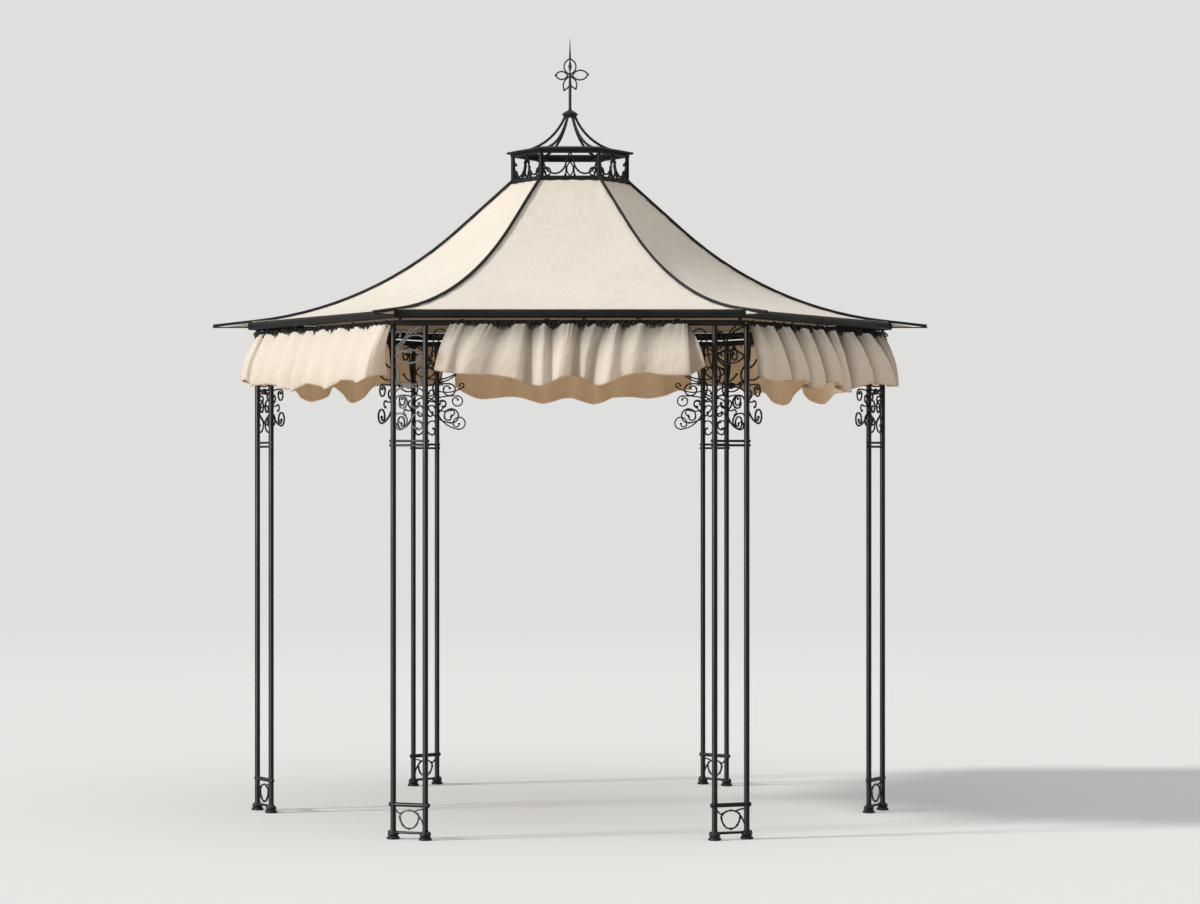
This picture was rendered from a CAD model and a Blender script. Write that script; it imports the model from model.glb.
"""Hexagonal garden pergola: wrought-iron posts with scroll work, a swept linen canopy and
gathered valances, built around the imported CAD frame."""
import math
import random

import bmesh
import bpy
from mathutils import Matrix, Vector, noise


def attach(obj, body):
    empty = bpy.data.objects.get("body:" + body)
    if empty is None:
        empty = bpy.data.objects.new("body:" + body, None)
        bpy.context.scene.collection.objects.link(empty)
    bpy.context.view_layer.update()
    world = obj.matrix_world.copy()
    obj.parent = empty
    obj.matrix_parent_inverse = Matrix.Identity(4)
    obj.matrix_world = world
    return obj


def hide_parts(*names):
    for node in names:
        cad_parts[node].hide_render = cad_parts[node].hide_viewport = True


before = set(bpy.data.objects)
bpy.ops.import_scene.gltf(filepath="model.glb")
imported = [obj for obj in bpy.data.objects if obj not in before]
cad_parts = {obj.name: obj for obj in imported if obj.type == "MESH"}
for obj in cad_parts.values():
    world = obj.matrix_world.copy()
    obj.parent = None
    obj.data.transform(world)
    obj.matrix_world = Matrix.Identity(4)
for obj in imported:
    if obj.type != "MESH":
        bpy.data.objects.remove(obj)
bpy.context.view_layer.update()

bl_info = {
    "name": "Hexagonal Garden Pergola",
    "version": (1, 0, 0),
    "blender": (4, 5, 0),
    "location": "View3D > Sidebar > Pergola",
    "description": "Cloth, ties and finishes for a six-sided wrought-iron pergola",
    "category": "Add Mesh",
}

SIDES = 6
STEP = 2 * math.pi / SIDES
PLACES = ("right", "back_right", "back_left", "left", "front_left", "front_right")
WALLS = ("right_back", "back", "left_back", "left_front", "front", "right_front")
BODY = "root"

# How each valance hangs, as folds from one end of its wall to the other. A fold is its place
# along the wall and how far it stands out at the heading, the same two at the hem, and how
# far the hem hangs below its mean height there. Places are shares of the wall, the rest is
# in millimetres.
FOLDS = {
    "front": (
        (0.058, -2, 0.002, -14, -30), (0.095, 5, 0.045, 8, -22), (0.140, -5, 0.072, -3, -18),
        (0.185, 6, 0.112, 12, -14), (0.225, -4, 0.165, 6, -13), (0.270, -16, 0.205, -2, -13),
        (0.302, 5, 0.268, 13, -3), (0.335, 4, 0.312, 16, 12), (0.366, -17, 0.342, -16, 28),
        (0.405, 7, 0.396, 24, 38), (0.438, -15, 0.426, 2, 24), (0.485, 9, 0.460, 22, 6),
        (0.515, 2, 0.494, 12, -5), (0.545, -16, 0.516, -22, -6), (0.585, 2, 0.550, 2, 3),
        (0.635, -11, 0.577, -16, 20), (0.655, -2, 0.606, 8, 34), (0.674, 8, 0.642, 25, 22),
        (0.703, -13, 0.684, 6, 0), (0.755, 7, 0.728, 12, -15), (0.808, -10, 0.783, -2, -17),
        (0.858, 3, 0.830, 8, -10), (0.900, 8, 0.885, 16, -6), (0.928, 6, 0.936, 16, -9),
        (0.932, -16, 0.946, -26, -14), (0.938, -22, 0.996, -16, -50)),
    "left_front": (
        (0.028, -6, -0.006, -10, -20), (0.062, 2, 0.036, 4, -18), (0.080, 3, 0.070, 5, -20),
        (0.092, -8, 0.084, -8, 6), (0.130, 6, 0.125, 12, 12), (0.185, -5, 0.180, -7, 6),
        (0.235, 5, 0.232, 10, 4), (0.290, -4, 0.290, -4, 13), (0.345, 6, 0.350, 12, 27),
        (0.400, -7, 0.402, -13, 36), (0.445, 6, 0.450, 16, 45), (0.490, -4, 0.500, -6, 16),
        (0.550, 5, 0.560, 10, 12), (0.610, -5, 0.625, -10, 28), (0.680, 6, 0.700, 15, 40),
        (0.740, -4, 0.752, -6, 14), (0.800, 4, 0.805, 8, 5), (0.860, -4, 0.860, -6, 8),
        (0.925, 5, 0.920, 12, 18), (0.985, 6, 0.972, 12, 4), (1.004, 2, 0.986, -4, -6),
        (1.010, -6, 0.996, -40, -12), (1.014, -10, 1.003, -80, -18)),
    "right_front": (
        (-0.020, -8, -0.050, -16, -8), (0.010, 4, -0.020, 14, 8), (0.060, -2, 0.045, 12, 14),
        (0.112, 10, 0.112, 24, 5), (0.128, -12, 0.126, -20, 12), (0.180, 0, 0.190, 4, 4),
        (0.232, 11, 0.246, 24, 8), (0.250, -10, 0.268, -18, 26), (0.305, -3, 0.318, 4, 38),
        (0.365, 10, 0.372, 20, 26), (0.384, -9, 0.392, -14, 18), (0.430, 0, 0.446, 4, 5),
        (0.480, 10, 0.498, 22, 12), (0.496, -10, 0.512, -18, 22), (0.530, -4, 0.532, -2, 40),
        (0.570, 12, 0.556, 24, 50), (0.588, -12, 0.574, -18, 42), (0.640, -4, 0.640, 2, 24),
        (0.700, 10, 0.730, 24, -4), (0.716, -12, 0.752, -20, -6), (0.775, -3, 0.810, 4, 3),
        (0.845, 10, 0.908, 24, 9), (0.860, -11, 0.926, -20, 9), (0.925, -2, 0.965, 2, 7),
        (0.965, 0, 1.000, -12, -8)),
    "back": (
        (0.004, -4, -0.004, -8, -10), (0.060, 4, 0.055, 8, -5), (0.115, -5, 0.110, -8, 22),
        (0.180, 5, 0.175, 12, 36), (0.245, -5, 0.250, -8, 28), (0.320, 5, 0.320, 10, 32),
        (0.365, -7, 0.362, -12, 55), (0.402, 8, 0.402, 22, 67), (0.444, -5, 0.446, -8, 54),
        (0.490, 5, 0.490, 10, 35), (0.530, -4, 0.530, -6, 36), (0.570, -6, 0.570, -10, 52),
        (0.612, 8, 0.612, 22, 64), (0.655, -5, 0.655, -8, 51), (0.700, 5, 0.700, 10, 34),
        (0.750, -4, 0.750, -6, 27), (0.815, 5, 0.815, 12, 35), (0.870, -5, 0.870, -8, 40),
        (0.920, 5, 0.915, 10, 22), (0.965, -4, 0.955, -4, -6), (0.990, -8, 0.975, -18, -24)),
    "left_back": (
        (-0.066, -92, -0.098, -140, -30), (-0.036, -48, -0.052, -66, -26),
        (-0.010, -8, -0.010, -8, -22), (0.040, 4, 0.040, 8, -22), (0.090, -4, 0.090, -6, -24),
        (0.150, 5, 0.155, 10, -22), (0.215, -5, 0.222, -8, -14), (0.262, 4, 0.268, 8, 42),
        (0.318, 6, 0.320, 16, 68), (0.372, -5, 0.374, -4, 60), (0.415, -6, 0.418, -12, 24),
        (0.458, 4, 0.459, 4, -6), (0.500, -5, 0.502, -8, 40), (0.556, 6, 0.556, 16, 64),
        (0.604, -3, 0.604, -4, 68), (0.648, 5, 0.648, 8, 50), (0.700, -5, 0.696, -8, 20),
        (0.770, 5, 0.770, 8, -4), (0.840, -5, 0.840, -8, -6), (0.910, 5, 0.910, 8, -4),
        (0.960, -4, 0.960, -6, -10), (0.990, -4, 1.000, -8, -18)),
    "right_back": (
        (0.004, -4, -0.004, -8, -18), (0.060, 4, 0.055, 8, -10), (0.120, -4, 0.120, -6, -4),
        (0.190, 5, 0.190, 10, -4), (0.255, -5, 0.255, -8, 8), (0.310, 4, 0.312, 6, 24),
        (0.360, -5, 0.358, -8, 30), (0.405, 4, 0.405, 6, 58), (0.455, 6, 0.455, 16, 78),
        (0.505, -3, 0.506, -4, 62), (0.545, -5, 0.545, -10, 28), (0.573, 4, 0.573, 4, 0),
        (0.605, -5, 0.605, -10, 30), (0.650, 4, 0.650, 6, 68), (0.700, 6, 0.702, 16, 80),
        (0.745, -4, 0.745, -6, 62), (0.785, -5, 0.782, -10, 20), (0.830, 4, 0.830, 8, 12),
        (0.890, -4, 0.892, -6, 28), (0.945, 4, 0.945, 8, -6), (1.010, -8, 1.010, -8, -22),
        (1.036, -48, 1.052, -66, -26), (1.066, -92, 1.098, -140, -30)),
}

# On these walls the folds stand out further than listed, by a factor. Ends that turn back
# round a post stay as listed.
FOLD_STRENGTH = {"left_front": 1.5, "right_front": 1.4}
TURNED_END = 30             # an end that turns back stands out at least this many millimetres

# How much darker the cloth of each valance gets deep in its folds, and at its heading
CREASES = {"front": (0.42, 0.46), "left_front": (0.06, 0.06), "right_front": (0.74, 0.24)}
PLAIN_CREASES = (0.28, 0.2)


# How far the cloth moves away from a plain surface, in metres
TUCK = 0.0068               # canopy pulled down beside the ribs
CANOPY_CREASE = 0.0032      # wide creases across a gore
CROWN_PUCKER = 0.0016       # small gathers under the crown
RIB_PUCKER = 0.0011         # small gathers along the ribs
VALANCE_ROLL = 0.0055       # slow rolls down a valance
VALANCE_CRUMPLE = 0.0016
PLEAT_DEPTH = 0.0062        # pleats under the ties
PLEAT_RISE = 0.004
CLOTH_SLANT = 1.02          # a valance's cloth over its drop, because it hangs at a slant

# A tie's sizes in metres
TIE_LOOP = 0.0082
BOW_LOOP = 0.0062
TIE_KNOT = 0.0055
TIE_TAIL = 0.020

# The stage: where light comes from, as seen from the pergola, and the screen's place and size
KEY_FROM = Vector((-0.79, -0.215, 0.574))
KEY_SPREAD = math.radians(7)
SKY_FROM = (0.10, -0.30, 0.95)
SCREEN_AT = Vector((-6.4, -6.0, 2.0))
SCREEN_AIM = Vector((0.0, 0.0, 1.7))
SCREEN_WIDE, SCREEN_HIGH = 2.0, 4.0
BOUNCE_COLOUR = (0.64, 0.48, 0.34)      # warm light that the floor throws up
MELT_FROM, MELT_TO = 5.0, 22.0          # where the floor fades into the backdrop


# ---- Sizes and colours a user would change ----

class PergolaClothSettings(bpy.types.PropertyGroup):
    """Sizes and colours of the canopy and valances"""
    canopy_colour: bpy.props.FloatVectorProperty(
        name="Canopy Colour", description="Colour of the linen canopy", subtype="COLOR",
        size=3, min=0, max=1, default=(0.775, 0.715, 0.625))
    valance_colour: bpy.props.FloatVectorProperty(
        name="Valance Colour", description="Colour of the outer side of the valances",
        subtype="COLOR", size=3, min=0, max=1, default=(0.79, 0.73, 0.64))
    lining_colour: bpy.props.FloatVectorProperty(
        name="Lining Colour", description="Colour of the inner side of the cloth",
        subtype="COLOR", size=3, min=0, max=1, default=(0.97, 0.85, 0.68))
    canopy_thickness: bpy.props.FloatProperty(
        name="Canopy Thickness", description="Thickness of the canopy cloth", unit="LENGTH",
        subtype="DISTANCE", default=0.0018, min=0.0005, max=0.004)
    valance_thickness: bpy.props.FloatProperty(
        name="Valance Thickness", description="Thickness of the valance cloth", unit="LENGTH",
        subtype="DISTANCE", default=0.0014, min=0.0005, max=0.004)
    canopy_sag: bpy.props.FloatProperty(
        name="Canopy Sag", description="How far the canopy dips between two ribs",
        unit="LENGTH", subtype="DISTANCE", default=0.007, min=0, max=0.03)
    thread_pitch: bpy.props.FloatProperty(
        name="Thread Pitch", description="Distance between two threads of the weave",
        unit="LENGTH", subtype="DISTANCE", default=0.0021, min=0.0008, max=0.005)


class PergolaIronSettings(bpy.types.PropertyGroup):
    """Finish of the ironwork and size of the valance ties"""
    paint_colour: bpy.props.FloatVectorProperty(
        name="Paint Colour", description="Colour of the iron's paint", subtype="COLOR",
        size=3, min=0, max=1, default=(0.044, 0.0445, 0.046))
    dust_colour: bpy.props.FloatVectorProperty(
        name="Dust Colour", description="Colour of dust that settles on the ironwork",
        subtype="COLOR", size=3, min=0, max=1, default=(0.06, 0.059, 0.057))
    tie_spacing: bpy.props.FloatProperty(
        name="Tie Spacing", description="Distance between two ties on a valance rod",
        unit="LENGTH", subtype="DISTANCE", default=0.044, min=0.02, max=0.2)
    tie_thickness: bpy.props.FloatProperty(
        name="Tie Thickness", description="Thickness of the cord of a tie", unit="LENGTH",
        subtype="DISTANCE", default=0.0052, min=0.001, max=0.009)


class PergolaStageSettings(bpy.types.PropertyGroup):
    """Camera, floor and light"""
    camera_distance: bpy.props.FloatProperty(
        name="Camera Distance", description="Distance from the camera to the pergola's centre",
        unit="LENGTH", subtype="DISTANCE", default=16.0, min=6, max=40)
    camera_height: bpy.props.FloatProperty(
        name="Camera Height", description="Height of the camera above the floor",
        unit="LENGTH", subtype="DISTANCE", default=1.656, min=0.2, max=6)
    floor_colour: bpy.props.FloatVectorProperty(
        name="Floor Colour", description="Colour of the studio floor", subtype="COLOR",
        size=3, min=0, max=1, default=(0.79, 0.787, 0.775))
    backdrop_colour: bpy.props.FloatVectorProperty(
        name="Backdrop Colour", description="Colour of the studio backdrop", subtype="COLOR",
        size=3, min=0, max=1, default=(0.742, 0.737, 0.722))
    floor_glow: bpy.props.FloatProperty(
        name="Floor Glow", description="Share of the floor that shows as lit from within, "
        "which keeps the shadow pale", default=0.13, min=0, max=1)
    key_strength: bpy.props.FloatProperty(
        name="Key Light", description="Strength of the light from the left", default=2.55,
        min=0, max=10)
    sky_strength: bpy.props.FloatProperty(
        name="Sky Light", description="Strength of the soft light from above", default=1.28,
        min=0, max=4)
    screen_strength: bpy.props.FloatProperty(
        name="Screen Light",
        description="Power of the tall screen at the left, which draws a line of light down "
        "each tube and shows only in reflections", default=1900, min=0, max=9000)


# ---- Helpers for meshes ----

def finish_mesh(bm, name, materials, smooth=True):
    """A new object in the row frame from a bmesh, with its materials."""
    mesh = bpy.data.meshes.new(name)
    bm.normal_update()
    bm.to_mesh(mesh)
    bm.free()
    for face in mesh.polygons:
        face.use_smooth = smooth
    for material in materials:
        mesh.materials.append(material)
    piece = bpy.data.objects.new(name, mesh)
    bpy.context.scene.collection.objects.link(piece)
    return piece


def add_piece(piece, slot, *nodes):
    """Makes a piece ride on the pergola, take its record slot and stand for CAD nodes."""
    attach(piece, BODY)
    if nodes:
        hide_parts(*nodes)
    return piece


def smooth_step(low, high, value):
    share = min(max((value - low) / (high - low), 0.0), 1.0)
    return share * share * (3 - 2 * share)


def wall_frame(i):
    """Unit vectors out of wall i and along it."""
    angle = STEP * (i + 0.5)
    return (Vector((math.cos(angle), math.sin(angle), 0)),
            Vector((-math.sin(angle), math.cos(angle), 0)))


def in_wall(node, i):
    """A node's vertices as (out, along, height) from wall i's middle."""
    out, along = wall_frame(i)
    return [(v.co.dot(out), v.co.dot(along), v.co.z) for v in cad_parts[node].data.vertices]


def gore_profile():
    """The canopy's middle line as (apothem, height) from the crown to the eave."""
    rows = {}
    for out, _, height in in_wall("canopy_" + WALLS[0], 0):
        rows.setdefault(round(out, 4), []).append(height)
    return [(out, (min(h) + max(h)) / 2) for out, h in sorted(rows.items())]


def along_profile(profile, share):
    """Point at a share of the profile's length, 0 at the crown, and its distance from there."""
    lengths = [0.0]
    for a, b in zip(profile, profile[1:]):
        lengths.append(lengths[-1] + math.dist(a, b))
    target = share * lengths[-1]
    for k in range(len(profile) - 1):
        if target <= lengths[k + 1] or k == len(profile) - 2:
            part = (target - lengths[k]) / (lengths[k + 1] - lengths[k])
            a, b = Vector(profile[k]), Vector(profile[k + 1])
            return a.lerp(b, part), target


# ---- Helpers for materials ----

def add_node(tree, kind, inputs=None, **settings):
    """One node with its settings. An input that is a socket is linked, others are set."""
    item = tree.nodes.new(kind)
    for name, value in settings.items():
        setattr(item, name, value)
    for name, value in (inputs or {}).items():
        if isinstance(value, bpy.types.NodeSocket):
            tree.links.new(value, item.inputs[name])
        else:
            item.inputs[name].default_value = value
    return item


def maths(tree, operation, a, b=0.0, c=0.0):
    return add_node(tree, "ShaderNodeMath", {0: a, 1: b, 2: c}, operation=operation).outputs[0]


def new_group(name, inputs, outputs):
    """An empty shader group with named sockets, each given as (name, kind, default)."""
    group = bpy.data.node_groups.new(name, "ShaderNodeTree")
    for direction, sockets in (("INPUT", inputs), ("OUTPUT", outputs)):
        for label, kind, default in sockets:
            socket = group.interface.new_socket(
                name=label, in_out=direction, socket_type="NodeSocket" + kind)
            if default is not None:
                socket.default_value = default
    return group, group.nodes.new("NodeGroupInput"), group.nodes.new("NodeGroupOutput")


def linen_weave_group():
    """Slubs, threads and soft patches of a plain-woven linen."""
    name = "Linen weave"
    if name in bpy.data.node_groups:
        return bpy.data.node_groups[name]
    group, given, result = new_group(
        name,
        [("Vector", "Vector", None), ("Thread pitch", "Float", 0.002),
         ("Slub length", "Float", 0.09), ("Slub width", "Float", 0.0055)],
        [("Shade", "Float", None), ("Height", "Float", None)])
    split = add_node(group, "ShaderNodeSeparateXYZ", {0: given.outputs["Vector"]})
    across, down = split.outputs[0], split.outputs[1]
    width, length = given.outputs["Slub width"], given.outputs["Slub length"]
    streaks = []
    for a, b, shift in ((across, down, 0.0), (down, across, 37.0)):
        place = add_node(group, "ShaderNodeCombineXYZ", {
            0: maths(group, "ADD", maths(group, "DIVIDE", a, width), shift),
            1: maths(group, "DIVIDE", b, length)})
        streaks.append(add_node(group, "ShaderNodeTexNoise", {
            "Vector": place.outputs[0], "Scale": 1.0, "Detail": 2.5,
            "Roughness": 0.6}).outputs[0])
    threads = []
    turn = 2 * math.pi
    for a in (across, down):
        phase = maths(group, "MULTIPLY", maths(group, "DIVIDE", a, given.outputs["Thread pitch"]),
                      turn)
        threads.append(maths(group, "SINE", phase))
    patch = add_node(group, "ShaderNodeTexNoise", {
        "Vector": given.outputs["Vector"], "Scale": 3.2, "Detail": 3.0}).outputs[0]
    slubs = maths(group, "ADD", streaks[0], streaks[1])
    weave = maths(group, "MULTIPLY", threads[0], threads[1])
    shade = maths(group, "ADD", maths(group, "MULTIPLY", slubs, 0.5),
                  maths(group, "MULTIPLY", maths(group, "SUBTRACT", patch, 0.5), 0.25))
    group.links.new(shade, result.inputs["Shade"])
    height = maths(group, "ADD", maths(group, "MULTIPLY", slubs, 0.7),
                   maths(group, "MULTIPLY", weave, 0.25))
    group.links.new(height, result.inputs["Height"])
    return group


def stitched_hem_group():
    """Rows of stitches near the edge of a cloth, from its distance to the edge and along it."""
    name = "Stitched hem"
    if name in bpy.data.node_groups:
        return bpy.data.node_groups[name]
    group, given, result = new_group(
        name,
        [("From edge", "Float", 1.0), ("Along edge", "Float", 0.0), ("Hem", "Float", 0.018)],
        [("Stitches", "Float", None), ("Fold", "Float", None)])
    gap = maths(group, "ABSOLUTE", maths(group, "SUBTRACT", given.outputs["From edge"],
                                         given.outputs["Hem"]))
    row = maths(group, "SMOOTH_MIN", maths(group, "SUBTRACT", 1.0,
                                           maths(group, "DIVIDE", gap, 0.0016)), 1.0, 0.0)
    dash = maths(group, "GREATER_THAN", maths(group, "SINE", maths(
        group, "MULTIPLY", given.outputs["Along edge"], 2 * math.pi / 0.006)), -0.35)
    stitches = maths(group, "MULTIPLY", maths(group, "MAXIMUM", row, 0.0), dash)
    group.links.new(stitches, result.inputs["Stitches"])
    fold = maths(group, "LESS_THAN", given.outputs["From edge"], given.outputs["Hem"])
    group.links.new(fold, result.inputs["Fold"])
    return group


def forged_paint_group():
    """Hammer marks, settled dust and uneven gloss of painted wrought iron."""
    name = "Forged paint"
    if name in bpy.data.node_groups:
        return bpy.data.node_groups[name]
    group, given, result = new_group(
        name,
        [("Vector", "Vector", None), ("Hammer size", "Float", 0.012),
         ("Gloss", "Float", 0.36)],
        [("Dust", "Float", None), ("Roughness", "Float", None), ("Height", "Float", None)])
    size = add_node(group, "ShaderNodeVectorMath", {
        0: given.outputs["Vector"], 3: maths(group, "DIVIDE", 1.0, given.outputs["Hammer size"])},
        operation="SCALE").outputs[0]
    marks = add_node(group, "ShaderNodeTexVoronoi", {"Vector": size, "Scale": 0.8},
                     feature="SMOOTH_F1").outputs[0]
    grit = add_node(group, "ShaderNodeTexNoise", {
        "Vector": size, "Scale": 3.0, "Detail": 3.0}).outputs[0]
    cloud = add_node(group, "ShaderNodeTexNoise", {
        "Vector": given.outputs["Vector"], "Scale": 5.0, "Detail": 4.0}).outputs[0]
    normal = add_node(group, "ShaderNodeNewGeometry").outputs["Normal"]
    up = add_node(group, "ShaderNodeSeparateXYZ", {0: normal}).outputs[2]
    dust = maths(group, "MULTIPLY", maths(group, "MAXIMUM", up, 0.0),
                 maths(group, "MULTIPLY", cloud, 0.9))
    group.links.new(maths(group, "ADD", dust, maths(group, "MULTIPLY", grit, 0.12)),
                    result.inputs["Dust"])
    rough = maths(group, "ADD", given.outputs["Gloss"],
                  maths(group, "MULTIPLY", maths(group, "SUBTRACT", cloud, 0.45), 0.35))
    group.links.new(rough, result.inputs["Roughness"])
    height = maths(group, "ADD", maths(group, "MULTIPLY", marks, 0.8),
                   maths(group, "MULTIPLY", grit, 0.06))
    group.links.new(height, result.inputs["Height"])
    return group


def new_material(name):
    """An empty material, its tree and its Principled shader."""
    material = bpy.data.materials.new(name)
    material.use_nodes = True
    tree = material.node_tree
    return material, tree, tree.nodes["Principled BSDF"]


def place_group(tree, group, inputs):
    item = tree.nodes.new("ShaderNodeGroup")
    item.node_tree = group
    for name, value in inputs.items():
        if isinstance(value, bpy.types.NodeSocket):
            tree.links.new(value, item.inputs[name])
        else:
            item.inputs[name].default_value = value
    return item


def shades(tree, factor, *stops):
    """A colour ramp over (position, colour) stops."""
    ramp = add_node(tree, "ShaderNodeValToRGB", {0: factor})
    elements = ramp.color_ramp.elements
    for element, (position, colour) in zip(elements, (stops[0], stops[-1])):
        element.position = position
        element.color = (*colour, 1)
    for position, colour in stops[1:-1]:
        elements.new(position).color = (*colour, 1)
    return ramp.outputs[0]


def scaled(colour, factor):
    return tuple(min(c * factor, 1.0) for c in colour)


def linen_material(name, colour, contrast, hem=0.0, creased=0.0):
    """Woven linen that reads its pattern from the cloth's own UV map, in metres."""
    cloth = bpy.context.scene.pergola_cloth
    material, tree, shader = new_material(name)
    uv = add_node(tree, "ShaderNodeUVMap", uv_map="Weave").outputs[0]
    weave = place_group(tree, linen_weave_group(), {
        "Vector": uv, "Thread pitch": cloth.thread_pitch})
    dark, light = scaled(colour, 1 - contrast), scaled(colour, 1 + contrast * 0.35)
    base = shades(tree, weave.outputs["Shade"], (0.30, dark), (0.5, colour), (0.68, light))
    if creased:
        depth = add_node(tree, "ShaderNodeAttribute", attribute_name="Crease").outputs["Fac"]
        base = add_node(tree, "ShaderNodeMix", {
            "Factor": maths(tree, "MULTIPLY", depth, creased), 6: base,
            7: (*(0.13 * c ** 4 for c in colour), 1)}, data_type="RGBA").outputs[2]
    height = weave.outputs["Height"]
    if hem:
        edge = add_node(tree, "ShaderNodeUVMap", uv_map="Edge").outputs[0]
        edge = add_node(tree, "ShaderNodeSeparateXYZ", {0: edge})
        sewn = place_group(tree, stitched_hem_group(), {
            "From edge": edge.outputs[0], "Along edge": edge.outputs[1], "Hem": hem})
        base = add_node(tree, "ShaderNodeMix", {
            "Factor": maths(tree, "MULTIPLY", sewn.outputs["Stitches"], 0.4), 6: base,
            7: (*scaled(colour, 0.62), 1)}, data_type="RGBA").outputs[2]
        height = maths(tree, "ADD", height, maths(
            tree, "SUBTRACT", maths(tree, "MULTIPLY", sewn.outputs["Fold"], 1.2),
            maths(tree, "MULTIPLY", sewn.outputs["Stitches"], 1.5)))
    tree.links.new(base, shader.inputs["Base Color"])
    rough = maths(tree, "ADD", maths(tree, "MULTIPLY", weave.outputs["Shade"], 0.16), 0.78)
    tree.links.new(rough, shader.inputs["Roughness"])
    bump = add_node(tree, "ShaderNodeBump", {"Height": height, "Strength": 0.55,
                                             "Distance": 0.0007})
    tree.links.new(bump.outputs[0], shader.inputs["Normal"])
    shader.inputs["Specular IOR Level"].default_value = 0.25
    shader.inputs["Sheen Weight"].default_value = 0.12
    shader.inputs["Sheen Roughness"].default_value = 0.6
    return material


def iron_material(name, gloss, hammer, lift, shine):
    """Black satin paint over hammered iron. gloss is its mean roughness, hammer the size of the
    hammer marks, lift the share of the paint colour and shine how strongly it reflects."""
    iron = bpy.context.scene.pergola_iron
    material, tree, shader = new_material(name)
    place = add_node(tree, "ShaderNodeTexCoord").outputs["Object"]
    paint = place_group(tree, forged_paint_group(), {
        "Vector": place, "Hammer size": hammer, "Gloss": gloss})
    colour = scaled(tuple(iron.paint_colour), lift)
    base = shades(tree, paint.outputs["Dust"], (0.04, scaled(colour, 0.75)), (0.3, colour),
                  (0.95, tuple(iron.dust_colour)))
    tree.links.new(base, shader.inputs["Base Color"])
    tree.links.new(paint.outputs["Roughness"], shader.inputs["Roughness"])
    bump = add_node(tree, "ShaderNodeBump", {
        "Height": paint.outputs["Height"], "Strength": 0.12, "Distance": 0.0005})
    tree.links.new(bump.outputs[0], shader.inputs["Normal"])
    shader.inputs["Specular IOR Level"].default_value = shine
    return material


# ---- Canopy ----

def gore_column(share):
    """Where a column stands across a gore, with columns closer together near the ribs."""
    return share - 0.85 * math.sin(2 * math.pi * share) / (2 * math.pi)


def canopy_point(profile, turn, down, sag):
    """A point of the canopy. turn counts gores round the crown, down runs 0 to 1 to the eave.
    Gives the point, its place across its gore in metres and its distance down the cloth."""
    gore = min(int(turn), SIDES - 1)
    share = gore_column(turn - gore)
    (apothem, height), length = along_profile(profile, down)
    (before, above), _ = along_profile(profile, max(down - 0.01, 0))
    (after, below), _ = along_profile(profile, min(down + 0.01, 1))
    slope = math.atan2(above - below, after - before)
    out, along = wall_frame(gore)
    half = apothem * math.tan(STEP / 2)
    across = (2 * share - 1) * half
    from_rib = (half - abs(across)) * math.cos(STEP / 2)
    # pulled tight under the ribs, with a little slack in the middle of each gore
    tuck = TUCK * (1 - smooth_step(0.004, 0.3, from_rib) * 0.7)
    tuck *= 1 - smooth_step(0.965, 0.995, down)
    hold = math.sin(math.pi * down) * math.sin(math.pi * share)
    dip = tuck + sag * hold
    place = Vector((across * 9.0 + gore * 31.0, length * 2.2, 0.3))
    creases = noise.noise(place) * CANOPY_CREASE * hold
    ripple = math.sin(across * 88.0) * CROWN_PUCKER * math.exp(-length / 0.12)
    ripple += math.sin(length * 52.0 + gore) * RIB_PUCKER * math.exp(-from_rib / 0.06)
    lift = creases + ripple * (1 - smooth_step(0.9, 1.0, down)) - dip
    normal = out * math.sin(slope) + Vector((0, 0, math.cos(slope)))
    point = out * apothem + along * across + Vector((0, 0, height)) + normal * lift
    return point, across, length


def build_canopy():
    """One continuous cover of six gores that runs tight under the ribs."""
    cloth = bpy.context.scene.pergola_cloth
    profile = gore_profile()
    columns, rows = 26, 54
    bm = bmesh.new()
    bmesh.ops.create_grid(bm, x_segments=columns * SIDES, y_segments=rows, size=0.5)
    weave = bm.loops.layers.uv.new("Weave")
    edge = bm.loops.layers.uv.new("Edge")
    full = along_profile(profile, 1.0)[1]
    grid = {v: ((v.co.x + 0.5) * SIDES, 0.5 - v.co.y) for v in bm.verts}
    for face in bm.faces:
        gore = min(int(sum(grid[v][0] for v in face.verts) / len(face.verts)), SIDES - 1)
        for loop in face.loops:
            turn, down = grid[loop.vert]
            share = gore_column(min(max(turn - gore, 0.0), 1.0))
            (apothem, _), length = along_profile(profile, down)
            across = (2 * share - 1) * apothem * math.tan(STEP / 2)
            loop[weave].uv = (across + gore * 2.0, length)
            loop[edge].uv = (full - length, across)
    for v, (turn, down) in grid.items():
        v.co = canopy_point(profile, turn, down, cloth.canopy_sag)[0]
    bmesh.ops.remove_doubles(bm, verts=bm.verts, dist=0.0003)
    bmesh.ops.recalc_face_normals(bm, faces=bm.faces)
    top = max(bm.faces, key=lambda f: f.calc_center_median().z)
    if top.normal.z < 0:
        bmesh.ops.reverse_faces(bm, faces=bm.faces)
    outer = linen_material("canopy_linen", tuple(cloth.canopy_colour), contrast=0.16, hem=0.03)
    inner = linen_material("canopy_underside", scaled(cloth.lining_colour, 0.27), contrast=0.14)
    cover = finish_mesh(bm, "canopy_cover", [outer, inner])
    thick = cover.modifiers.new("thickness", "SOLIDIFY")
    thick.thickness = cloth.canopy_thickness
    thick.offset = -1
    thick.material_offset = 1
    thick.material_offset_rim = 0
    add_piece(cover, "canopy_cloth", *("canopy_" + wall for wall in WALLS))
    return cover


# ---- Valances ----

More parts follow.
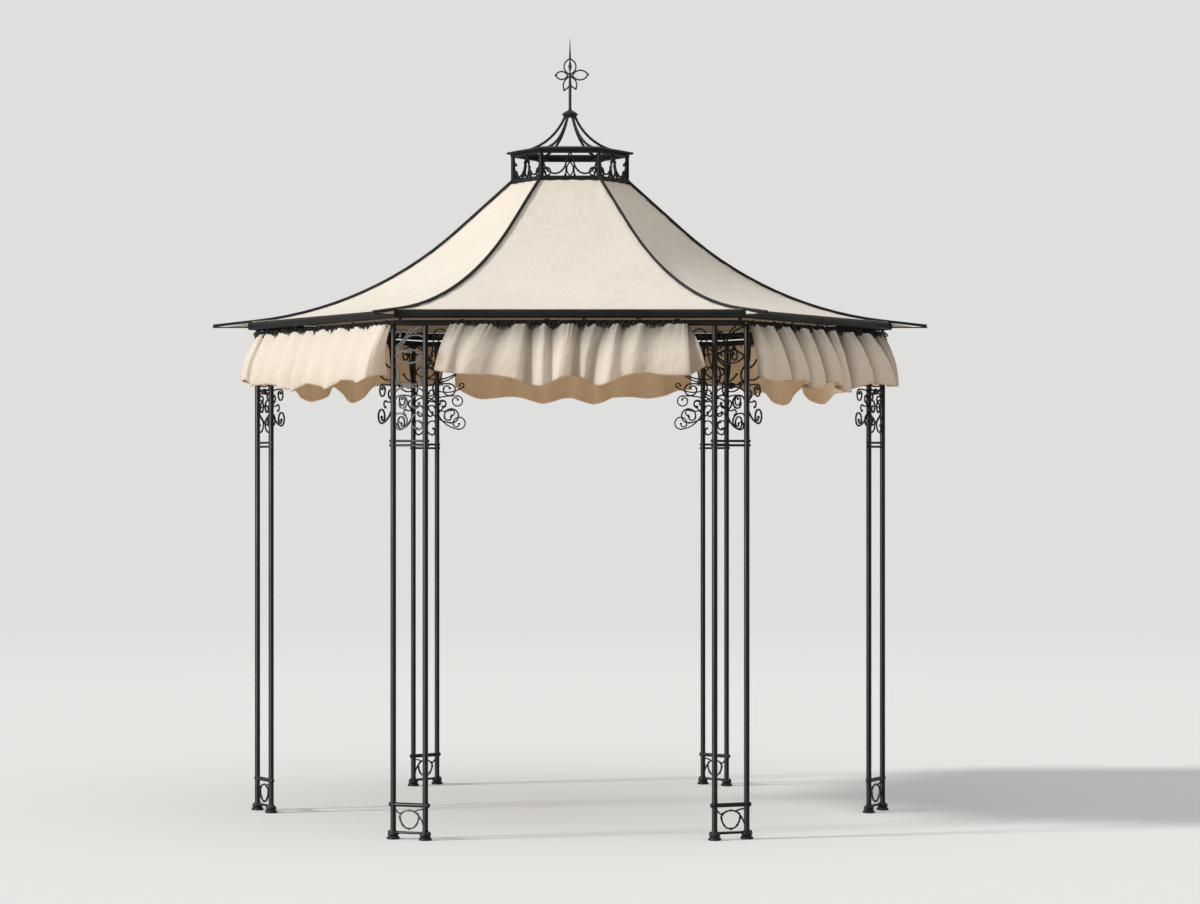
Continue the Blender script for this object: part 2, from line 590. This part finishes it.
def fold_waves(count, seed):
    """Irregular waves over 0 to 1: each as its start, its end and its height."""
    draw = random.Random(seed)
    widths = [draw.uniform(0.55, 1.5) for _ in range(count)]
    waves, start = [], 0.0
    for width in widths:
        end = start + width / sum(widths)
        waves.append((start, end, draw.uniform(0.3, 1.2)))
        start = end
    return waves


def wave_at(waves, s):
    """Height of the waves at s, from about -0.5 to 0.6, with rounded tops."""
    start, end, height = next((w for w in waves if s <= w[1]), waves[-1])
    phase = min(max((s - start) / (end - start), 0.0), 1.0)
    return height * ((0.5 - 0.5 * math.cos(2 * math.pi * phase)) ** 0.75 - 0.45)


def stand_out(distance, strength):
    """How far a fold stands out with its wall's strength, in whole millimetres."""
    if abs(distance) >= TURNED_END:
        return distance
    return round(distance * strength)


def hung_folds(wall):
    """The folds of a wall's valance as it hangs."""
    strength = FOLD_STRENGTH.get(wall, 1)
    return tuple(
        (heading, stand_out(heading_out, strength), hem, stand_out(hem_out, strength), drop)
        for heading, heading_out, hem, hem_out, drop in FOLDS[wall])


def fold_at(folds, s):
    """The five numbers of a fold list at a share s of the cloth, on a curve through them all."""
    last = len(folds) - 1
    k = min(int(s * last), last - 1)
    f = s * last - k
    before, start, end, after = (folds[min(max(k + n, 0), last)] for n in (-1, 0, 1, 2))
    return [0.5 * (2 * b + (c - a) * f + (2 * a - 5 * b + 4 * c - d) * f * f
                   + (3 * b - a - 3 * c + d) * f ** 3)
            for a, b, c, d in zip(before, start, end, after)]


def valance_point(folds, pleats, seed, size, s, t):
    """A point of a valance as (out, along, height) in its wall's frame. s runs along, t down."""
    length, head, drop, front, flare = size
    top, top_out, low, low_out, fall = fold_at(folds, s)
    spread = 1 - (1 - t) ** 1.9
    along = (top + (low - top) * (0.6 * spread + 0.4 * t) - 0.5) * length
    soft = noise.noise(Vector((along * 7.0, t * 1.6, seed * 3.1)))
    fine = noise.noise(Vector((along * 34.0 + 6 * t, t * 4.0, seed * 1.7)))
    out = front + flare * spread + 0.001 * (top_out + (low_out - top_out) * t)
    out += VALANCE_ROLL * soft * math.sin(math.pi * min(t * 1.1, 1)) + VALANCE_CRUMPLE * fine
    gather = math.exp(-t / 0.16)
    out += PLEAT_DEPTH * wave_at(pleats, s) * gather
    height = head - (drop + 0.001 * fall + 0.003 * soft) * t
    height += PLEAT_RISE * wave_at(pleats, s + 0.004) * gather
    return out, along, height


def crease_at(folds, pleats, depths, s, t):
    """How much darker the cloth is at s and t, from 0 to 1."""
    _, top_out, _, low_out, _ = fold_at(folds, s)
    stands = top_out + (low_out - top_out) * t
    deep = smooth_step(14.0, -20.0, stands)
    gather = math.exp(-(t / 0.34) ** 2)
    pinch = (0.7 - wave_at(pleats, s)) * math.exp(-(t / 0.2) ** 2)
    return min(depths[0] * (deep + 0.35 * pinch) + depths[1] * gather, 0.9)


def rod_of(i):
    """Distance, height and radius of the valance rod on wall i, from the CAD."""
    points = in_wall("valance_rods", i)
    far = max(p[0] for p in points)
    outer = [p for p in points if p[0] > far - 0.0075]
    low, high = min(p[2] for p in outer), max(p[2] for p in outer)
    radius = (high - low) / 2
    return far - radius, (high + low) / 2, radius


def valance_size(wall, i):
    """Length, heading height, drop, heading distance and flare of a valance, from the CAD."""
    points = in_wall("valance_" + wall, i)
    low = min(p[2] for p in points)
    hem = [p[0] for p in points if p[2] < low + 0.01]
    along = [p[1] for p in points]
    middle = (max(along) + min(along)) / 2
    rod_out, rod_z, rod_r = rod_of(i)
    head = rod_z - rod_r - 0.002
    front = rod_out + rod_r + 0.0035
    return (max(along) - min(along), head, head - low, front, sum(hem) / len(hem) - front), middle


def build_valance(i, wall, materials):
    """Gathered cloth that hangs from the rod on one side."""
    cloth = bpy.context.scene.pergola_cloth
    folds = hung_folds(wall)
    pleats = fold_waves(34, 7 * i + 3)
    size, middle = valance_size(wall, i)
    drop = size[2]
    out, along = wall_frame(i)
    columns, rows = 300, 26
    bm = bmesh.new()
    bmesh.ops.create_grid(bm, x_segments=columns, y_segments=rows, size=0.5)
    crease = bm.verts.layers.float.new("Crease")
    place = {v: (v.co.x + 0.5, 0.5 - v.co.y) for v in bm.verts}
    # the cloth's own width, measured along its middle
    walk = [0.0]
    line = [Vector(valance_point(folds, pleats, i, size, k / columns, 0.6))
            for k in range(columns + 1)]
    for a, b in zip(line, line[1:]):
        walk.append(walk[-1] + (b - a).length)
    weave = bm.loops.layers.uv.new("Weave")
    edge = bm.loops.layers.uv.new("Edge")
    for face in bm.faces:
        for loop in face.loops:
            s, t = place[loop.vert]
            width = walk[round(s * columns)]
            loop[weave].uv = (width + 3.0 * i, t * drop)
            loop[edge].uv = ((1 - t) * drop, width)
    for v, (s, t) in place.items():
        o, a, h = valance_point(folds, pleats, i, size, s, t)
        v.co = out * o + along * (a + middle) + Vector((0, 0, h))
        v[crease] = crease_at(folds, pleats, CREASES.get(wall, PLAIN_CREASES), s, t)
    bmesh.ops.recalc_face_normals(bm, faces=bm.faces)
    if sum(f.normal.dot(out) * f.calc_area() for f in bm.faces) < 0:
        bmesh.ops.reverse_faces(bm, faces=bm.faces)
    area = sum(f.calc_area() for f in bm.faces)
    piece = finish_mesh(bm, "valance_cloth_" + wall, materials)
    thick = piece.modifiers.new("thickness", "SOLIDIFY")
    thick.thickness = cloth.valance_thickness
    thick.offset = -1
    thick.material_offset = 1
    thick.material_offset_rim = 0
    add_piece(piece, "valance_cloth", "valance_" + wall)
    return piece, (area / (drop * CLOTH_SLANT), drop * CLOTH_SLANT)


# ---- Ties ----

def tie_mesh(thickness):
    """One tie: a loop round the rod, a knot, a two-looped bow and two tails."""
    bm = bmesh.new()

    def ring(major, minor, steps, place):
        before = set(bm.verts)
        start = bmesh.ops.create_circle(bm, segments=5, radius=minor, matrix=Matrix.Translation(
            (major, 0, 0)) @ Matrix.Rotation(math.pi / 2, 4, "X"))["verts"]
        edges = list({e for v in start for e in v.link_edges})
        bmesh.ops.spin(bm, geom=edges, cent=(0, 0, 0), axis=(0, 0, 1), angle=2 * math.pi,
                       steps=steps, use_merge=True)
        bmesh.ops.transform(bm, matrix=place, verts=[v for v in bm.verts if v not in before])

    half = thickness / 2
    ring(TIE_LOOP, half, 9, Matrix.Rotation(math.pi / 2, 4, "X"))
    for side in (-1, 1):
        bow = Matrix.Translation((0.0095, side * 0.0105, -0.0015)) @ Matrix.Rotation(
            side * -0.35, 4, "X") @ Matrix.Diagonal((0.75, 1.5, 0.8, 1)) @ Matrix.Rotation(
                math.pi / 2, 4, "Y")
        ring(BOW_LOOP, half, 9, bow)
        bmesh.ops.create_cone(
            bm, cap_ends=True, segments=5, radius1=half * 0.7, radius2=half * 1.2, depth=TIE_TAIL,
            matrix=Matrix.Translation((0.0115, side * 0.0075, -0.0125)) @ Matrix.Rotation(
                side * 0.62, 4, "X"))
    bmesh.ops.create_icosphere(bm, subdivisions=1, radius=TIE_KNOT,
                               matrix=Matrix.Translation((0.0105, 0, -0.002)))
    bmesh.ops.recalc_face_normals(bm, faces=bm.faces)
    mesh = bpy.data.meshes.new("tie")
    bm.to_mesh(mesh)
    bm.free()
    return mesh


def build_ties(i, wall, pattern, material):
    """Ties along one rod, none quite like the next."""
    iron = bpy.context.scene.pergola_iron
    rod_out, rod_z, _ = rod_of(i)
    (length, *_), middle = valance_size(wall, i)
    start, end = FOLDS[wall][0][0], FOLDS[wall][-1][0]
    middle += (start + end - 1) / 2 * length
    length *= end - start
    out, along = wall_frame(i)
    draw = random.Random(i + 100)
    count = int(length / iron.tie_spacing)
    bm = bmesh.new()
    base = Matrix((out, along, (0, 0, 1))).transposed().to_4x4()
    for k in range(count):
        at = middle + length * ((k + 0.5 + draw.uniform(-0.28, 0.28)) / count - 0.5)
        place = Matrix.Translation(out * rod_out + along * at + Vector((0, 0, rod_z)))
        turn = Matrix.Rotation(draw.uniform(-0.8, 0.8), 4, "X")
        spread = Matrix.Diagonal((1, draw.uniform(0.8, 1.6), draw.uniform(0.9, 1.5), 1))
        before = set(bm.verts)
        bm.from_mesh(pattern)
        fresh = [v for v in bm.verts if v not in before]
        bmesh.ops.transform(bm, matrix=place @ base @ turn @ spread, verts=fresh)
    piece = finish_mesh(bm, "ties_" + wall, [material])
    return add_piece(piece, "black_iron")


# ---- Tip webs ----

def middle_of(values):
    """Middle and half width of a set of values."""
    values = list(values)
    return (max(values) + min(values)) / 2, (max(values) - min(values)) / 2


def build_tip_webs(material):
    """Small pointed webs of cloth between each rib's tip and the wire under it."""
    cloth = bpy.context.scene.pergola_cloth
    bm = bmesh.new()
    steps = 8
    for i, place in enumerate(PLACES):
        way = Vector((math.cos(STEP * i), math.sin(STEP * i), 0))
        points = [(v.co.dot(way), v.co.z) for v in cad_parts["hip_rib_" + place].data.vertices]
        rail = max(v.co.dot(way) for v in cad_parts["edge_rail"].data.vertices)
        tip = max(p[0] for p in points)
        tip_z = middle_of(p[1] for p in points if p[0] > tip - 0.004)[0]
        wire_top = max(p[1] for p in points if rail - 0.012 < p[0] < rail + 0.012)
        ring_out = max(p[0] for p in points if p[0] < rail - 0.02)
        ring_z, ring_r = middle_of(p[1] for p in points if ring_out - 0.004 < p[0] <= ring_out)
        slope = (ring_z - tip_z) / (tip - 0.009 - ring_out)
        rib_low = ring_z - slope * (rail - ring_out) - ring_r
        reach = (rib_low - wire_top) / slope
        before = set(bm.verts)
        bmesh.ops.create_grid(bm, x_segments=steps, y_segments=2, size=0.5)
        for v in (v for v in bm.verts if v not in before):
            along, up = v.co.x + 0.5, v.co.y + 0.5
            height = (rib_low - wire_top) * (1 - along) + 0.0006
            v.co = way * (rail + 0.001 + reach * along) + Vector((0, 0, wire_top + up * height))
    uv = bm.loops.layers.uv.new("Weave")
    for face in bm.faces:
        for loop in face.loops:
            loop[uv].uv = (loop.vert.co.xy.length, loop.vert.co.z)
    webs = finish_mesh(bm, "tip_webs", [material])
    thick = webs.modifiers.new("thickness", "SOLIDIFY")
    thick.thickness = cloth.canopy_thickness
    thick.offset = 0
    add_piece(webs, "canopy_cloth")


# ---- Stage ----

def seen_mask(tree):
    """1 for rays from the camera, reflections and glass, 0 for light that bounces."""
    path = add_node(tree, "ShaderNodeLightPath")
    return maths(tree, "MINIMUM", maths(tree, "ADD", maths(
        tree, "ADD", path.outputs["Is Camera Ray"], path.outputs["Is Glossy Ray"]),
        path.outputs["Is Transmission Ray"]), 1.0)


def build_floor(stage):
    """A wide pale floor that keeps the pergola's shadow and melts into the backdrop."""
    bm = bmesh.new()
    bmesh.ops.create_grid(bm, x_segments=8, y_segments=8, size=90)
    material, tree, shader = new_material("studio_floor")
    tree.nodes.remove(shader)
    output = tree.nodes["Material Output"]
    lit = add_node(tree, "ShaderNodeBsdfDiffuse", {"Color": (*stage.floor_colour, 1)})
    pale = add_node(tree, "ShaderNodeEmission", {"Color": (*stage.floor_colour, 1)})
    near = add_node(tree, "ShaderNodeMixShader", {
        0: stage.floor_glow, 1: lit.outputs[0], 2: pale.outputs[0]})
    dull = add_node(tree, "ShaderNodeBsdfDiffuse", {"Color": (*BOUNCE_COLOUR, 1)})
    glow = add_node(tree, "ShaderNodeEmission", {"Color": (*stage.backdrop_colour, 1)})
    seen = seen_mask(tree)
    place = add_node(tree, "ShaderNodeTexCoord").outputs["Object"]
    reach = add_node(tree, "ShaderNodeVectorMath", {0: place}, operation="LENGTH").outputs["Value"]
    far = add_node(tree, "ShaderNodeMapRange", {
        "Value": reach, "From Min": MELT_FROM, "From Max": MELT_TO},
        interpolation_type="SMOOTHSTEP")
    melt = add_node(tree, "ShaderNodeMixShader", {
        0: far.outputs[0], 1: near.outputs[0], 2: glow.outputs[0]})
    mix = add_node(tree, "ShaderNodeMixShader", {
        0: seen, 1: dull.outputs[0], 2: melt.outputs[0]})
    tree.links.new(mix.outputs[0], output.inputs["Surface"])
    floor = finish_mesh(bm, "floor", [material], smooth=False)
    return floor


def build_world(stage):
    """Soft light, strongest from above and a little from the front, with a plain backdrop."""
    world = bpy.data.worlds.new("studio")
    bpy.context.scene.world = world
    world.use_nodes = True
    tree = world.node_tree
    background = tree.nodes["Background"]
    toward = add_node(tree, "ShaderNodeTexCoord").outputs["Generated"]
    side = add_node(tree, "ShaderNodeVectorMath", {0: toward, 1: SKY_FROM},
                    operation="DOT_PRODUCT").outputs["Value"]
    level = maths(tree, "POWER", maths(tree, "MAXIMUM", side, 0.0), 3.0)
    level = maths(tree, "MULTIPLY", maths(tree, "ADD", level, 0.05), stage.sky_strength)
    light = add_node(tree, "ShaderNodeCombineXYZ", {0: level, 1: level, 2: level}).outputs[0]
    mix = add_node(tree, "ShaderNodeMix", {
        "Factor": seen_mask(tree), 6: light, 7: (*stage.backdrop_colour, 1)}, data_type="RGBA")
    tree.links.new(mix.outputs[2], background.inputs["Color"])
    background.inputs["Strength"].default_value = 1.0


# ---- Operators ----

class PERGOLA_OT_ironwork(bpy.types.Operator):
    """Paint the posts, scroll work, ribs, rings and finial"""
    bl_idname = "pergola.ironwork"
    bl_label = "Paint the Ironwork"

    def execute(self, context):
        tubes = iron_material("iron_tubes", gloss=0.42, hammer=0.016, lift=0.42, shine=0.15)
        scrolls = iron_material("iron_scrolls", gloss=0.45, hammer=0.007, lift=0.25, shine=0.12)
        rings = iron_material("iron_rings", gloss=0.5, hammer=0.014, lift=0.2, shine=0.12)
        finial = iron_material("iron_finial", gloss=0.45, hammer=0.006, lift=0.4, shine=0.2)
        for name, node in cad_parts.items():
            if name.startswith(("canopy_", "valance_")) and name != "valance_rods":
                continue
            material = rings
            if name.startswith(("post_", "hip_rib_", "dome_rods", "valance_rods")):
                material = tubes
            elif name.startswith(("scrolls_", "crown_scrolls")):
                material = scrolls
            elif name.startswith(("finial_", "hub")):
                material = finial
            node.data.materials.clear()
            node.data.materials.append(material)
        return {"FINISHED"}


class PERGOLA_OT_canopy(bpy.types.Operator):
    """Sew the canopy cover and stretch it over the ribs"""
    bl_idname = "pergola.canopy"
    bl_label = "Stretch the Canopy"

    def execute(self, context):
        cover = build_canopy()
        build_tip_webs(cover.data.materials[0])
        return {"FINISHED"}


class PERGOLA_OT_valances(bpy.types.Operator):
    """Hang a gathered valance with its ties on every side"""
    bl_idname = "pergola.valances"
    bl_label = "Hang the Valances"

    def execute(self, context):
        cloth = context.scene.pergola_cloth
        outer = linen_material("valance_linen", tuple(cloth.valance_colour), contrast=0.13,
                               hem=0.012, creased=1.0)
        inner = linen_material("valance_lining", tuple(cloth.lining_colour), contrast=0.12,
                               hem=0.012, creased=0.45)
        cord = iron_material("tie_cord", gloss=0.6, hammer=0.004, lift=0.15, shine=0.1)
        pattern = tie_mesh(context.scene.pergola_iron.tie_thickness)
        for i, wall in enumerate(WALLS):
            piece, flat = build_valance(i, wall, [outer, inner])
            ties = build_ties(i, wall, pattern, cord)
        bpy.data.meshes.remove(pattern)
        return {"FINISHED"}


class PERGOLA_OT_stage(bpy.types.Operator):
    """Set the camera, the studio floor and the lights"""
    bl_idname = "pergola.stage"
    bl_label = "Set the Stage"

    def execute(self, context):
        scene = context.scene
        stage = scene.pergola_stage
        camera = bpy.data.cameras.new("camera")
        camera.lens = 100
        camera.sensor_width = 36
        camera.shift_x = 0.025
        camera.shift_y = 0.0108
        camera.clip_end = 400
        holder = bpy.data.objects.new("camera", camera)
        holder.location = (0, -stage.camera_distance, stage.camera_height)
        holder.rotation_euler = (math.pi / 2, 0, 0)
        scene.collection.objects.link(holder)
        scene.camera = holder
        key = bpy.data.lights.new("key", "SUN")
        key.energy = stage.key_strength
        key.angle = KEY_SPREAD
        key.color = (1.0, 0.985, 0.96)
        lamp = bpy.data.objects.new("key", key)
        lamp.rotation_euler = KEY_FROM.to_track_quat("Z", "Y").to_euler()
        scene.collection.objects.link(lamp)
        screen = bpy.data.lights.new("screen", "AREA")
        screen.shape = "RECTANGLE"
        screen.size = SCREEN_WIDE
        screen.size_y = SCREEN_HIGH
        screen.energy = stage.screen_strength
        panel = bpy.data.objects.new("screen", screen)
        panel.location = SCREEN_AT
        panel.rotation_euler = (SCREEN_AT - SCREEN_AIM).to_track_quat("Z", "Y").to_euler()
        panel.visible_camera = panel.visible_diffuse = panel.visible_transmission = False
        scene.collection.objects.link(panel)
        build_floor(stage)
        build_world(stage)
        scene.view_settings.view_transform = "Standard"
        return {"FINISHED"}


class PERGOLA_PT_panel(bpy.types.Panel):
    """Pergola tools in the sidebar"""
    bl_idname = "PERGOLA_PT_panel"
    bl_label = "Garden Pergola"
    bl_space_type = "VIEW_3D"
    bl_region_type = "UI"
    bl_category = "Pergola"

    def draw(self, context):
        for operator in OPERATORS:
            self.layout.operator(operator.bl_idname)
        for settings in ("pergola_cloth", "pergola_iron", "pergola_stage"):
            box = self.layout.box()
            group = getattr(context.scene, settings)
            for name in group.__annotations__:
                box.prop(group, name)


OPERATORS = (PERGOLA_OT_ironwork, PERGOLA_OT_canopy, PERGOLA_OT_valances, PERGOLA_OT_stage)
SETTINGS = {"pergola_cloth": PergolaClothSettings, "pergola_iron": PergolaIronSettings,
            "pergola_stage": PergolaStageSettings}


def register():
    for item in (*SETTINGS.values(), *OPERATORS, PERGOLA_PT_panel):
        bpy.utils.register_class(item)
    for name, group in SETTINGS.items():
        setattr(bpy.types.Scene, name, bpy.props.PointerProperty(type=group))


def unregister():
    for name in SETTINGS:
        delattr(bpy.types.Scene, name)
    for item in reversed((*SETTINGS.values(), *OPERATORS, PERGOLA_PT_panel)):
        bpy.utils.unregister_class(item)


def main():
    register()
    bpy.ops.pergola.ironwork()
    bpy.ops.pergola.canopy()
    bpy.ops.pergola.valances()
    bpy.ops.pergola.stage()


if __name__ == "__main__":
    main()
